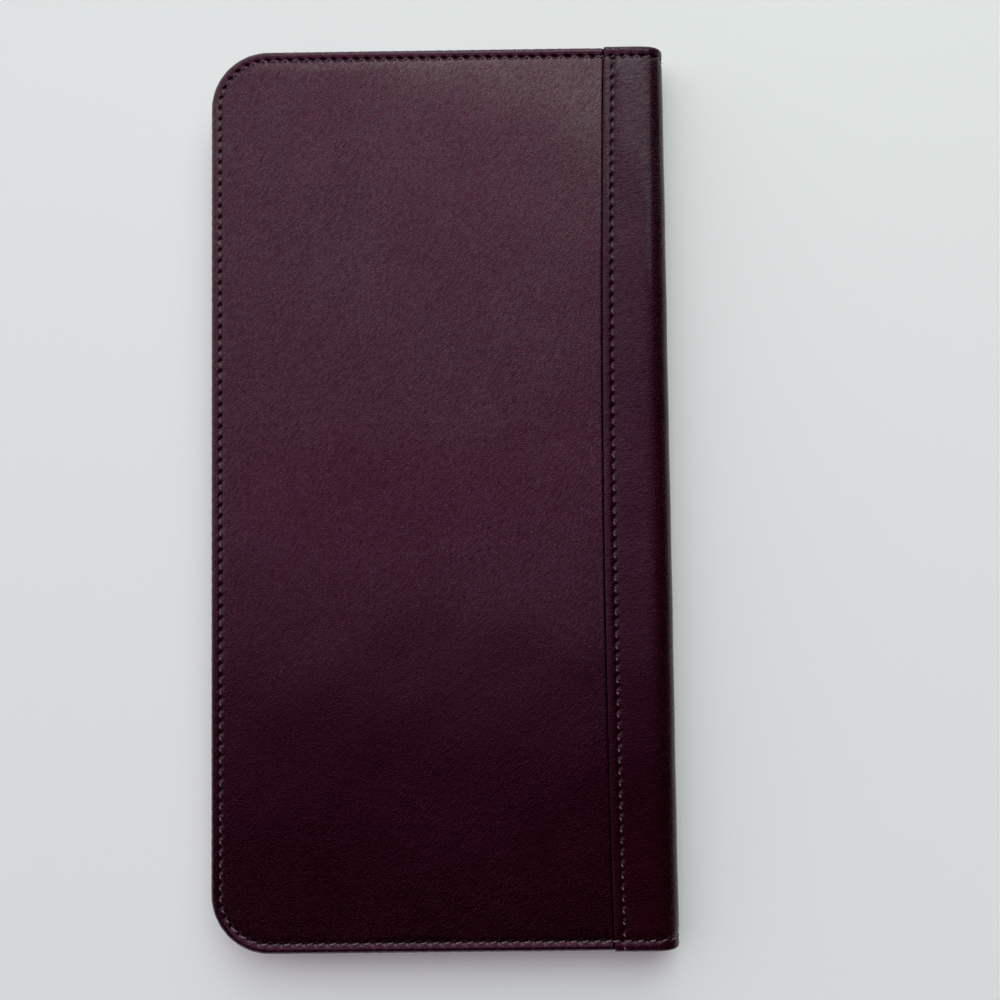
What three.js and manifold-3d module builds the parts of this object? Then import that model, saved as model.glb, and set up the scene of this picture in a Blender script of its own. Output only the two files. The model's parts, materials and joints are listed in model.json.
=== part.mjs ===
// Travel document wallet, closed and lying on its back cover.
// Millimetres. +X runs to the spine, +Y to the head, +Z up out of the front cover.
// Two leather covers with turned edges are joined by a spine strip that laps over both of them.
// Each cover is drawn once in its own frame, with its outer face at z = 0 and its plies above it.
import * as THREE from "three";
import { mergeVertices } from "three/addons/utils/BufferGeometryUtils.js";
import Module from "manifold-3d";

const wasm = await Module();
wasm.setup();

// Outside sizes
const WIDTH = 114.5; // fore edge to spine
const HEIGHT = 224.5; // head to tail, over the spine strip
const FORE_CORNER_RADIUS = 14.5;
const STRIP_LAP_WIDTH = 16.7; // how far the spine strip reaches onto each cover
const STRIP_OVERHANG = 0.3; // the strip stands out past the covers at head and tail
const FOLD_RADIUS = 4; // outside radius where the strip bends into the spine

// Thicknesses of the plies
const LEATHER = 1.1; // outer leather of panels and strip
const SKIVED_LEATHER = 0.4; // outer leather pared thin where it is turned in
const STRIP_OVER_LAP = 0.7; // strip leather where it lies on a panel
const TONGUE = 0.2; // panel leather pared thin under the strip
const BOARD = 0.8;
const LINING = 0.5;
const POCKET_LEATHER = 0.5;

// Clearances
const GLUE_LINE = 0.1; // between plies that are glued or sewn face to face
const SLIP_GAP = 0.1; // between a pocket and the ply behind it
const COVER_GAP = 0.4; // between the two insides of the closed wallet
const FOLD_GAP = 0.3; // where the strip is divided at a fold, and at the butt of lap and panel
const THREAD_GAP = 0.06; // between a thread and the floor of its groove

// Edges and stitching
const TURN_IN_WIDTH = 7; // leather folded onto the inside of the board
const LAP_WIDTH = 5; // panel leather under the strip
const STITCH_INSET = 2.2; // edge stitching from the edge of the panel
const SEAM_INSET = 2.5; // strip stitching from the edge of the strip
const THREAD_DIAMETER = 0.4;
const GROOVE_WIDTH = 0.8;
const GROOVE_DEPTH = 0.52;
const POCKET_GROOVE_DEPTH = 0.25;
const STRIP_EDGE_RADIUS = 0.35;
const STRIP_END_ROUND = 0.25; // easing of the strip's cut ends at head and tail

// Pockets
const CARD_WIDTH = 85.6;
const CARD_HEIGHT = 54;
const CARD_SIDE_ROOM = 3.5; // beside a card, up to the seams at both sides of its slot
const CARD_SHOWS = 6; // how much of a card stands out of its slot
const SLOT_COUNT = 4;
const SLOT_STEP = 12; // from one slot's mouth to the next
const SLOT_HEAD_MARGIN = 14; // from the head edge to the mouth of the highest slot
const PASSPORT_HEIGHT = 125;
const PASSPORT_SHOWS = 5;
const DOCUMENT_STEP = 34; // from the passport pocket's mouth to the document pocket's
const NOTCH_RADIUS = 9; // thumb notch in the passport pocket
const POCKET_SIDE_MARGIN = 4; // from the lining's spine edge to the edge of a sewn pocket
const MOUTH_MARGIN = 2; // from the lining's spine edge to the mouth of a full-length pocket
const FOLD_ROOM = 0.5; // between the fold of the strip and the plies of a cover

// How finely curves are divided
const CORNER_STEPS = 6;
const NOSE_STEPS = 8;
const FOLD_STEPS = 8;
const THREAD_SIDES = 8;

// Positions worked out from the sizes
const spineX = WIDTH / 2;
const foreX = -WIDTH / 2;
const hingeX = spineX - FOLD_RADIUS;
const stripX = spineX - STRIP_LAP_WIDTH;
const lapX = stripX - GLUE_LINE;
const panelEndX = stripX + LAP_WIDTH;
const plyEndX = spineX - 2 * FOLD_RADIUS - FOLD_ROOM;
const stripHalfHeight = HEIGHT / 2;
const panelHalfHeight = stripHalfHeight - STRIP_OVERHANG;
const tongueHalfHeight = panelHalfHeight - LEATHER - FOLD_GAP;
const boardZ = LEATHER + GLUE_LINE;
const turnInZ = boardZ + BOARD + GLUE_LINE;
const edgeThickness = turnInZ + SKIVED_LEATHER;
const liningZ = edgeThickness + GLUE_LINE;
const firstPocketZ = liningZ + LINING + SLIP_GAP;
const pocketPitch = POCKET_LEATHER + SLIP_GAP;
const plyInset = LEATHER + GLUE_LINE;
const threadDepth = GROOVE_DEPTH - THREAD_GAP - THREAD_DIAMETER / 2;
const stitchY = panelHalfHeight - STITCH_INSET;
const seamX = stripX + SEAM_INSET;
const pocketThreadRise = THREAD_GAP + THREAD_DIAMETER / 2 - POCKET_GROOVE_DEPTH;

const BACK_POCKETS = 3;
const FRONT_POCKETS = 1 + SLOT_COUNT;
const backHeight = firstPocketZ + BACK_POCKETS * pocketPitch - SLIP_GAP;
const frontHeight = firstPocketZ + FRONT_POCKETS * pocketPitch - SLIP_GAP;
const thickness = backHeight + COVER_GAP + frontHeight;

// Colours
const burgundy = 0x35121f;
const burgundyInside = 0x47202d;
const satin = 0x2a1219;
const boardGrey = 0x8d867c;
const mauve = 0x7b5f68;

function toSolid(geometry) {
  geometry.deleteAttribute("normal");
  geometry.deleteAttribute("uv");
  const welded = mergeVertices(geometry, 1e-5);
  const mesh = new wasm.Mesh({
    numProp: 3,
    vertProperties: new Float32Array(welded.attributes.position.array),
    triVerts: new Uint32Array(welded.index.array),
  });
  return new wasm.Manifold(mesh);
}

function toGeometry(solid) {
  const mesh = solid.getMesh();
  const geometry = new THREE.BufferGeometry();
  geometry.setAttribute("position", new THREE.BufferAttribute(mesh.vertProperties, 3));
  geometry.setIndex(new THREE.BufferAttribute(mesh.triVerts, 1));
  return geometry;
}

function cut(geometry, ...tools) {
  const solid = tools.reduce((left, tool) => left.subtract(toSolid(tool)), toSolid(geometry));
  return toGeometry(solid);
}

function fuse(geometry, ...others) {
  const solid = others.reduce((left, other) => left.add(toSolid(other)), toSolid(geometry));
  return toGeometry(solid);
}

function piece(name, geometry, color, roughness) {
  geometry.computeVertexNormals();
  const material = new THREE.MeshStandardMaterial({ color, roughness });
  const mesh = new THREE.Mesh(geometry, material);
  mesh.name = name;
  return mesh;
}

// Joins rings of equal length, each a convex loop of points, into one closed body.
function loft(rings) {
  const count = rings[0].length;
  const positions = rings.flat().flatMap((point) => [point.x, point.y, point.z]);
  const index = [];
  for (let ring = 0; ring < rings.length - 1; ring++) {
    for (let i = 0; i < count; i++) {
      const a = ring * count + i;
      const b = ring * count + ((i + 1) % count);
      index.push(a, b, b + count, a, b + count, a + count);
    }
  }
  const last = (rings.length - 1) * count;
  for (let i = 1; i < count - 1; i++) {
    index.push(0, i + 1, i);
    index.push(last, last + i, last + i + 1);
  }
  const geometry = new THREE.BufferGeometry();
  geometry.setAttribute("position", new THREE.Float32BufferAttribute(positions, 3));
  geometry.setIndex(index);
  return geometry;
}

// A cover's outline drawn in from its head, tail and fore edge, open-cornered at the spine side.
function coverOutline(inset, endX) {
  const radius = FORE_CORNER_RADIUS - inset;
  const halfHeight = panelHalfHeight - inset;
  const centreX = foreX + FORE_CORNER_RADIUS;
  const centreY = panelHalfHeight - FORE_CORNER_RADIUS;
  const shape = new THREE.Shape();
  shape.moveTo(endX, -halfHeight);
  shape.lineTo(endX, halfHeight);
  shape.lineTo(centreX, halfHeight);
  shape.absarc(centreX, centreY, radius, Math.PI / 2, Math.PI, false);
  shape.lineTo(centreX - radius, -centreY);
  shape.absarc(centreX, -centreY, radius, Math.PI, 1.5 * Math.PI, false);
  return shape;
}

// A flat ply cut to a shape, from one height to the next.
function ply(shape, z, depth) {
  const geometry = new THREE.ExtrudeGeometry(shape, {
    depth,
    bevelEnabled: false,
    curveSegments: CORNER_STEPS * 2,
  });
  return geometry.translate(0, 0, z);
}

// A section drawn in X and Z, carried from tail to head. Its ends are eased by a small round.
function along(section, halfLength, round) {
  const geometry = new THREE.ExtrudeGeometry(section, {
    depth: 2 * (halfLength - round),
    bevelEnabled: true,
    bevelThickness: round,
    bevelSize: round,
    bevelOffset: -round,
    bevelSegments: 2,
    curveSegments: FOLD_STEPS,
  });
  geometry.rotateX(Math.PI / 2);
  return geometry.translate(0, halfLength - round, 0);
}

function block(x0, x1, y0, y1, z0, z1) {
  const geometry = new THREE.BoxGeometry(x1 - x0, y1 - y0, z1 - z0);
  return geometry.translate((x0 + x1) / 2, (y0 + y1) / 2, (z0 + z1) / 2);
}

// A round thread along a path. Its rings stand upright, across the path's level direction.
function thread(path) {
  const rings = path.map((point, i) => {
    const before = path[Math.max(i - 1, 0)];
    const after = path[Math.min(i + 1, path.length - 1)];
    const side = new THREE.Vector3(before.y - after.y, after.x - before.x, 0).normalize();
    return Array.from({ length: THREAD_SIDES }, (_, k) => {
      const turn = (2 * Math.PI * k) / THREAD_SIDES;
      const ring = point.clone().addScaledVector(side, (Math.cos(turn) * THREAD_DIAMETER) / 2);
      ring.z += (Math.sin(turn) * THREAD_DIAMETER) / 2;
      return ring;
    });
  });
  return loft(rings);
}

// Inset and height round a turned edge, from the outer face to the inside.
function noseProfile() {
  const nose = edgeThickness / 2;
  return Array.from({ length: NOSE_STEPS + 1 }, (_, i) => {
    const turn = (Math.PI * i) / NOSE_STEPS;
    return [nose * (1 - Math.sin(turn)), nose * (1 - Math.cos(turn))];
  });
}

// The panel's outer leather: pressed groove for the stitching, rounded nose, turned-in margin.
// Past the strip's edge it goes on as a tongue, pared thin, under the strip.
function coverPanel() {
  const grooveInner = STITCH_INSET + GROOVE_WIDTH / 2;
  const grooveOuter = STITCH_INSET - GROOVE_WIDTH / 2;
  const groove = [
    [grooveInner, 0],
    [grooveInner, GROOVE_DEPTH],
    [grooveOuter, GROOVE_DEPTH],
    [grooveOuter, 0],
  ];
  const rings = [...groove, ...noseProfile()].map(([inset, z]) => {
    const outline = coverOutline(inset, lapX).getPoints(CORNER_STEPS);
    return outline.map((point) => new THREE.Vector3(point.x, point.y, z));
  });
  const boardRoom = ply(coverOutline(LEATHER, spineX), LEATHER, turnInZ - LEATHER);
  const window = ply(coverOutline(TURN_IN_WIDTH, spineX), LEATHER, edgeThickness);
  const tongueZ = STRIP_OVER_LAP + GLUE_LINE;
  const rootX = lapX - TONGUE;
  const tongue = block(
    rootX,
    panelEndX,
    -tongueHalfHeight,
    tongueHalfHeight,
    tongueZ,
    tongueZ + TONGUE,
  );
  return fuse(cut(loft(rings), boardRoom, window), tongue);
}

// The part of the spine strip that lies on one cover: its edge laps over the panel's tongue,
// and its ends are turned in over the board like the panel's edges.
function stripLap() {
  const endX = hingeX - FOLD_GAP / 2;
  const buttX = panelEndX + FOLD_GAP;
  const rings = noseProfile().map(([inset, z]) => {
    const easing = Math.max(STRIP_EDGE_RADIUS - z, 0);
    const edgeX = stripX + STRIP_EDGE_RADIUS - Math.sqrt(STRIP_EDGE_RADIUS ** 2 - easing ** 2);
    const halfLength = stripHalfHeight - inset;
    return [
      new THREE.Vector3(edgeX, -halfLength, z),
      new THREE.Vector3(endX, -halfLength, z),
      new THREE.Vector3(endX, halfLength, z),
      new THREE.Vector3(edgeX, halfLength, z),
    ];
  });
  const boardY = panelHalfHeight - LEATHER;
  const windowY = stripHalfHeight - TURN_IN_WIDTH;
  const tongueY = tongueHalfHeight + FOLD_GAP;
  const half = GROOVE_WIDTH / 2;
  return cut(
    loft(rings),
    block(foreX, spineX, -boardY, boardY, LEATHER, turnInZ),
    block(foreX, spineX, -windowY, windowY, LEATHER, thickness),
    block(foreX, buttX, -tongueY, tongueY, STRIP_OVER_LAP, turnInZ),
    block(seamX - half, seamX + half, -HEIGHT, HEIGHT, -LEATHER, GROOVE_DEPTH),
    block(foreX, spineX, stitchY - half, stitchY + half, -LEATHER, GROOVE_DEPTH),
    block(foreX, spineX, -stitchY - half, -stitchY + half, -LEATHER, GROOVE_DEPTH),
  );
}

// Edge stitching: from the fold along the head, round the fore edge and back along the tail.
function edgeThread() {
  const threadEndX = hingeX - FOLD_GAP;
  const outline = coverOutline(STITCH_INSET, threadEndX).getPoints(CORNER_STEPS);
  const path = outline.slice(1);
  path.push(outline[0]);
  return thread(path.map((point) => new THREE.Vector3(point.x, point.y, threadDepth)));
}

function seamThread() {
  const halfLength = stitchY - GROOVE_WIDTH;
  const ends = [-halfLength, halfLength];
  return thread(ends.map((y) => new THREE.Vector3(seamX, y, threadDepth)));
}

// The plies that both covers have.
function cover(side) {
  const group = new THREE.Group();
  group.name = `${side}_cover_group`;
  const boardShape = coverOutline(plyInset, plyEndX);
  group.add(piece(`${side}_cover_panel`, coverPanel(), burgundy, 0.45));
  group.add(piece(`spine_strip_${side}`, stripLap(), burgundy, 0.45));
  group.add(piece(`${side}_stiffener`, ply(boardShape, boardZ, BOARD), boardGrey, 0.9));
  group.add(piece(`${side}_lining`, ply(boardShape, liningZ, LINING), satin, 0.7));
  group.add(piece(`${side}_edge_thread`, edgeThread(), mauve, 0.8));
  group.add(piece(`${side}_seam_thread`, seamThread(), mauve, 0.8));
  return group;
}

function pocketZ(level) {
  return firstPocketZ + level * pocketPitch;
}

// A pocket as long as the cover, open along the spine.
function fullLengthPocket(level) {
  const shape = coverOutline(plyInset, plyEndX - MOUTH_MARGIN);
  return ply(shape, pocketZ(level), POCKET_LEATHER);
}

// A pocket sewn along the tail, the fore edge and its spine side, open towards the head.
function tailPocket(level, mouthY, endX, notchRadius) {
  const left = foreX + plyInset;
  const radius = FORE_CORNER_RADIUS - plyInset;
  const bottom = -panelHalfHeight + plyInset;
  const shape = new THREE.Shape();
  shape.moveTo(left + radius, bottom);
  shape.lineTo(endX, bottom);
  shape.lineTo(endX, mouthY);
  if (notchRadius > 0) {
    const middle = (left + endX) / 2;
    shape.lineTo(middle + notchRadius, mouthY);
    shape.absarc(middle, mouthY, notchRadius, 0, Math.PI, true);
  }
  shape.lineTo(left, mouthY);
  shape.lineTo(left, bottom + radius);
  shape.absarc(left + radius, bottom + radius, radius, Math.PI, 1.5 * Math.PI, false);
  return ply(shape, pocketZ(level), POCKET_LEATHER);
}

// A card slot's ply, which stops below the card that it holds.
function cardPly(level, mouthY, endX) {
  const depth = CARD_HEIGHT - CARD_SHOWS;
  const left = foreX + plyInset;
  const geometry = block(left, endX, mouthY - depth, mouthY, 0, POCKET_LEATHER);
  return geometry.translate(0, 0, pocketZ(level));
}

// A shallow groove for stitching in the top of a pocket's ply.
function pocketGroove(level, x0, x1, y0, y1) {
  const top = pocketZ(level) + POCKET_LEATHER;
  const half = GROOVE_WIDTH / 2;
  const floor = top - POCKET_GROOVE_DEPTH;
  return block(x0 - half, x1 + half, y0 - half, y1 + half, floor, top + LEATHER);
}

function threadPoint(level, x, y) {
  const top = pocketZ(level) + POCKET_LEATHER;
  return new THREE.Vector3(x, y, top + pocketThreadRise);
}

const pocketEndX = plyEndX - POCKET_SIDE_MARGIN;
const pocketSeamX = pocketEndX - STITCH_INSET;
const pocketFloorY = -stitchY;
const passportMouthY = pocketFloorY + PASSPORT_HEIGHT - PASSPORT_SHOWS;
const documentMouthY = passportMouthY + DOCUMENT_STEP;
const slotEndX = foreX + 2 * STITCH_INSET + CARD_WIDTH + 2 * CARD_SIDE_ROOM;
const slotSeamX = slotEndX - STITCH_INSET;
const slotMouths = Array.from({ length: SLOT_COUNT }, (_, i) => {
  return panelHalfHeight - SLOT_HEAD_MARGIN - i * SLOT_STEP;
});
const lowestMouthY = slotMouths[SLOT_COUNT - 1];
const slotFloorY = lowestMouthY - (CARD_HEIGHT - CARD_SHOWS);

const back = cover("back");
const documentPocket = tailPocket(1, documentMouthY, pocketEndX, 0);
const documentGroove = pocketGroove(1, pocketSeamX, pocketSeamX, pocketFloorY, HEIGHT);
const passportPocket = tailPocket(2, passportMouthY, pocketEndX, NOTCH_RADIUS);
const passportGroove = pocketGroove(2, pocketSeamX, pocketSeamX, pocketFloorY, HEIGHT);
const pocketThread = thread([
  threadPoint(2, pocketSeamX, pocketFloorY),
  threadPoint(2, pocketSeamX, passportMouthY + THREAD_GAP),
  threadPoint(1, pocketSeamX, passportMouthY + THREAD_GAP + pocketPitch),
  threadPoint(1, pocketSeamX, documentMouthY - STITCH_INSET),
]);
back.add(piece("ticket_pocket", fullLengthPocket(0), burgundyInside, 0.55));
back.add(piece("document_pocket", cut(documentPocket, documentGroove), burgundyInside, 0.55));
back.add(piece("passport_pocket", cut(passportPocket, passportGroove), burgundyInside, 0.55));
back.add(piece("pocket_thread", pocketThread, mauve, 0.8));

// The front cover is the back cover's mirror image, with its outer face up.
const front = cover("front");
front.add(piece("currency_pocket", fullLengthPocket(0), burgundyInside, 0.55));
const slotPath = [];
slotMouths.forEach((mouthY, i) => {
  const level = i + 1;
  const lowest = level === SLOT_COUNT;
  const blank = lowest ? tailPocket(level, mouthY, slotEndX, 0) : cardPly(level, mouthY, slotEndX);
  const sideGroove = pocketGroove(level, slotSeamX, slotSeamX, slotFloorY, HEIGHT);
  const floorGroove = pocketGroove(level, foreX, slotSeamX, slotFloorY, slotFloorY);
  const grooves = lowest ? [sideGroove, floorGroove] : [sideGroove];
  front.add(piece(`card_slot_${level}`, cut(blank, ...grooves), burgundyInside, 0.55));
  const topY = level === 1 ? mouthY - STITCH_INSET : mouthY + THREAD_GAP;
  const lowY = lowest ? slotFloorY : slotMouths[i + 1] + THREAD_GAP + pocketPitch;
  slotPath.push(threadPoint(level, slotSeamX, topY), threadPoint(level, slotSeamX, lowY));
});
slotPath.push(threadPoint(SLOT_COUNT, foreX + STITCH_INSET, slotFloorY));
front.add(piece("card_slot_thread", thread(slotPath), mauve, 0.8));
front.scale.z = -1;
front.position.z = thickness;

// The spine: a narrow wall of strip leather between two folds, with its own lining behind it.
function spineFold() {
  const gapTurn = FOLD_GAP / 2 / FOLD_RADIUS;
  const start = 1.5 * Math.PI + gapTurn;
  const end = 2 * Math.PI - gapTurn;
  const section = new THREE.Shape();
  section.absarc(hingeX, FOLD_RADIUS, FOLD_RADIUS, start, end, false);
  section.absarc(hingeX, FOLD_RADIUS, FOLD_RADIUS - LEATHER, end, start, true);
  section.closePath();
  return along(section, stripHalfHeight, STRIP_END_ROUND);
}

const wallFoot = FOLD_RADIUS + FOLD_GAP / 2;
const wallHead = thickness - wallFoot;
const wallX = spineX - LEATHER;
const liningX = wallX - GLUE_LINE - LINING;
const liningY = panelHalfHeight - plyInset;
const spine = new THREE.Group();
spine.name = "spine_group";
const wall = block(wallX, spineX, -stripHalfHeight, stripHalfHeight, wallFoot, wallHead);
const wallLining = block(liningX, liningX + LINING, -liningY, liningY, wallFoot, wallHead);
spine.add(piece("spine_wall", wall, burgundy, 0.45));
spine.add(piece("spine_lining", wallLining, satin, 0.7));
spine.add(piece("spine_fold_back", spineFold(), burgundy, 0.45));
const frontFold = piece("spine_fold_front", spineFold(), burgundy, 0.45);
frontFold.scale.z = -1;
frontFold.position.z = thickness;
spine.add(frontFold);

const group = new THREE.Group();
group.name = "travel_document_wallet";
group.add(back, spine, front);
export default group;
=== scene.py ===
# %% [markdown]
# # A travel document wallet
#
# The wallet is a slim book of dark burgundy calf. Each cover is a skin of leather turned over a
# thin board and sewn round its edge. A spine strip of the same leather laps over both covers.
# Inside are a lining, long pockets and stepped card slots.
# Shapes are worked out in millimetres as numpy arrays and go into Blender in metres, around the
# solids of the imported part. Sizes that the solids already hold are read from them.

# %% Load the part and read its sizes
import json

import bpy
import numpy as np
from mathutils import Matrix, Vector


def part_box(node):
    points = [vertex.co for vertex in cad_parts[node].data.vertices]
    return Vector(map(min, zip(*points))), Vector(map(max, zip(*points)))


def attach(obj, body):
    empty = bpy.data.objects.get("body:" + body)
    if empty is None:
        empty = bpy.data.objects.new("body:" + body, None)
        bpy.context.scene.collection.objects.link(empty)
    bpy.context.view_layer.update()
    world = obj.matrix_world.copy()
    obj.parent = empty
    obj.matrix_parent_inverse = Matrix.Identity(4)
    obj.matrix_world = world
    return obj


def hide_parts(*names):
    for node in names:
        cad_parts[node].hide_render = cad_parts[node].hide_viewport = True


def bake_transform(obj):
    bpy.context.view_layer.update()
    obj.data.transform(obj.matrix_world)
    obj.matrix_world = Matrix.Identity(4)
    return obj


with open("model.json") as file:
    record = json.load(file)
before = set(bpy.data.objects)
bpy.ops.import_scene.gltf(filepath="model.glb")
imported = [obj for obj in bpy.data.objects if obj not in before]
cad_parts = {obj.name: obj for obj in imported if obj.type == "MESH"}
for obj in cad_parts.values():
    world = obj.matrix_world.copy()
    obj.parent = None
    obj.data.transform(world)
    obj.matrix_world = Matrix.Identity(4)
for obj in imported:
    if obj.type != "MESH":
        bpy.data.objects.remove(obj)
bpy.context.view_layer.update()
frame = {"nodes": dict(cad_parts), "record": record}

MM = 0.001


def node_box(node):
    """Lowest and highest corner of one solid, in millimetres."""
    low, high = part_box(node)
    return np.array(low) / MM, np.array(high) / MM


panel_low, panel_high = node_box("front_cover_panel")
strip_low, strip_high = node_box("spine_strip_front")
wall_low, wall_high = node_box("spine_wall")
_, edge_row_high = node_box("front_edge_thread")
seam_low, seam_high = node_box("front_seam_thread")

FORE_X = panel_low[0]
SPINE_X = wall_high[0]
STRIP_X = strip_low[0]
PANEL_HALF = panel_high[1]
STRIP_HALF = strip_high[1]
THICKNESS = panel_high[2]
EDGE = panel_high[2] - panel_low[2]
LEATHER = wall_high[0] - wall_low[0]
THREAD = seam_high[0] - seam_low[0]
ROW_SHIFT = 0.3  # the sewn row lies this much further in than the bead of the solid
STITCH_INSET = PANEL_HALF - edge_row_high[1] + THREAD / 2 + ROW_SHIFT
STITCH_Y = PANEL_HALF - STITCH_INSET
SEAM_X = (seam_low[0] + seam_high[0]) / 2
FORE_CORNER = 14.5  # radius of the two round corners
FOLD_RADIUS = 4.0  # outside radius where the strip bends into the spine
HINGE_X = SPINE_X - FOLD_RADIUS
print("closed wallet, mm:", np.round([SPINE_X - FORE_X, 2 * STRIP_HALF, THICKNESS], 2))

# %% [markdown]
# ## The view
#
# The wallet lies closed on a pale table and is seen from almost straight above. A camera can be
# aimed by a constraint, but this one was solved from the four edges of the cover, so its place and
# its turn are written as they came out. The lens sees 53 degrees, from a hand's span and a half up.

# %% Camera
CAMERA_PLACE = (15.4, -13.1, 258.0)
CAMERA_TURN = (2.544, 0.273, -0.695)  # degrees
LENS = 36.0  # on a sensor as wide

scene = bpy.context.scene
scene.view_settings.view_transform = "Standard"
camera_data = bpy.data.cameras.new("camera")
camera_data.lens = LENS
camera_data.sensor_width = LENS
camera_data.clip_start = 0.01
camera = bpy.data.objects.new("camera", camera_data)
camera.location = np.array(CAMERA_PLACE) * MM
camera.rotation_euler = np.radians(CAMERA_TURN)
scene.collection.objects.link(camera)
scene.camera = camera
print("camera height over the cover, mm:", round(CAMERA_PLACE[2] - THICKNESS, 1))

# %% [markdown]
# ## Light
#
# Daylight comes through a wide window beyond the head of the wallet, and the wall round it is pale.
# Whoever looks down stands at the tail, dark against the room. Dark leather shows mostly what it
# mirrors, so that makes the haze on the upper half and leaves the lower half deep. An area lamp is
# the window. The world is the room, drawn as ramps over the view direction: pale low down and on
# the window's side, mauve where the wall comes nearer, dark overhead and on the right.

# %% Window, room and table
WINDOW_PLACE = (0.5, 1.52, 1.58)  # metres
WINDOW_SIZE = (2.0, 1.6)
WINDOW_POWER = 25.0
WINDOW_COLOUR = (0.82, 1.0, 0.9)
DIM_LIGHT = 0.01  # what is left where the room is darkest
LOW_LIGHT = 1.6
WALL_LIGHT = 1.31
LOW_COLOUR = (1.0, 0.985, 1.03, 1.0)
FAR_COLOUR = (0.97, 1.005, 1.03, 1.0)  # the wall beyond the head
NEAR_COLOUR = (1.0, 0.54, 0.87, 1.0)  # the wall where it comes nearer
# Each range is two values of one axis of the view direction, and the light changes between them.
LOW_RANGE = (0.36, 0.06)  # height, where the low light comes in
WALL_RANGE = (-0.20, 0.0)  # along +Y, where the wall begins
HUE_RANGE = (0.06, 0.24)  # along +Y, where the wall turns from mauve to white
SIDE_RANGE = (-0.55, -0.40)  # along +X, where it turns from white to mauve
DARK_RANGE = (0.03, 0.6)  # along +X, where the room falls dark
TABLE_COLOUR = (0.905, 0.905, 0.895, 1.0)
TABLE_SIDE = 6.0  # metres
TABLE_DROP = 0.1  # just under the lowest stitch, millimetres

window_data = bpy.data.lights.new("window", "AREA")
window_data.shape = "RECTANGLE"
window_data.size, window_data.size_y = WINDOW_SIZE
window_data.energy = WINDOW_POWER
window_data.color = WINDOW_COLOUR
window = bpy.data.objects.new("window", window_data)
window.location = WINDOW_PLACE
window.rotation_euler = (-Vector(WINDOW_PLACE)).to_track_quat("-Z", "Y").to_euler()
scene.collection.objects.link(window)
print("window distance, m:", round(Vector(WINDOW_PLACE).length, 2))

# %% [markdown]
# ## Writing shaders as sums
#
# A leather is a formula: grain plus creases plus pores. Wiring that by hand takes dozens of lines,
# so a small class wraps a node's output and turns arithmetic into Math nodes. Its one general
# method adds any other kind of node.


# %% A socket that can be added and multiplied
class Wire:
    """The output of a shader node. Sums and products of wires and numbers add Math nodes."""

    def __init__(self, socket):
        self.socket = socket

    def node(self, kind, settings, inputs, output=0):
        """Adds any kind of node to the same tree: its settings first, then what feeds its sockets."""
        tree = self.socket.id_data
        made = tree.nodes.new(kind)
        for name, setting in settings.items():
            setattr(made, name, setting)
        for name, value in inputs.items():
            if isinstance(value, Wire):
                tree.links.new(value.socket, made.inputs[name])
            else:
                made.inputs[name].default_value = value
        return Wire(made.outputs[output])

    def math(self, operation, *values):
        return self.node("ShaderNodeMath", {"operation": operation}, dict(enumerate(values)))

    def __add__(self, other):
        return self.math("ADD", self, other)

    def __sub__(self, other):
        return self.math("SUBTRACT", self, other)

    def __rsub__(self, other):
        return self.math("SUBTRACT", other, self)

    def __mul__(self, other):
        return self.math("MULTIPLY", self, other)

    __radd__ = __add__
    __rmul__ = __mul__

    def ramp(self, low, high):
        """Rises smoothly from 0 at low to 1 at high."""
        settings = {"interpolation_type": "SMOOTHSTEP"}
        inputs = {"Value": self, "From Min": low, "From Max": high}
        return self.node("ShaderNodeMapRange", settings, inputs)

    def blend(self, low_colour, high_colour):
        """Mixes two colours by this value."""
        inputs = {0: self, 6: low_colour, 7: high_colour}
        return self.node("ShaderNodeMix", {"data_type": "RGBA"}, inputs, 2)

    def noise(self, size, detail=2.0, output="Fac"):
        """Cloudy noise whose lumps are about size millimetres across."""
        inputs = {"Vector": self, "Scale": 1 / (size * MM), "Detail": detail}
        return self.node("ShaderNodeTexNoise", {}, inputs, output)

    def stretched(self, turn, scale):
        """The same coordinates turned about the upright axis by degrees, then scaled per axis."""
        inputs = {"Vector": self, "Rotation": (0, 0, np.radians(turn)), "Scale": scale}
        return self.node("ShaderNodeMapping", {"vector_type": "TEXTURE"}, inputs)

    def attribute(self, name):
        """A number stored at the vertices of the piece."""
        return self.node("ShaderNodeAttribute", {"attribute_name": name}, {}, "Fac")


def start_material(name):
    """An empty material, and the wire of its Object coordinates."""
    material = bpy.data.materials.new(name)
    material.use_nodes = True
    material.node_tree.nodes.clear()
    coordinates = material.node_tree.nodes.new("ShaderNodeTexCoord")
    return material, Wire(coordinates.outputs["Object"])


def close_material(material, place, height, relief, inputs):
    """Height times relief in millimetres becomes bump; inputs feed the Principled shader."""
    bump = place.node("ShaderNodeBump", {}, {"Height": height, "Distance": relief * MM})
    shader = place.node("ShaderNodeBsdfPrincipled", {}, {**inputs, "Normal": bump})
    output = material.node_tree.nodes.new("ShaderNodeOutputMaterial")
    material.node_tree.links.new(shader.socket, output.inputs["Surface"])
    print("material", material.name, "has", len(material.node_tree.nodes), "nodes")
    return material


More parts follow.
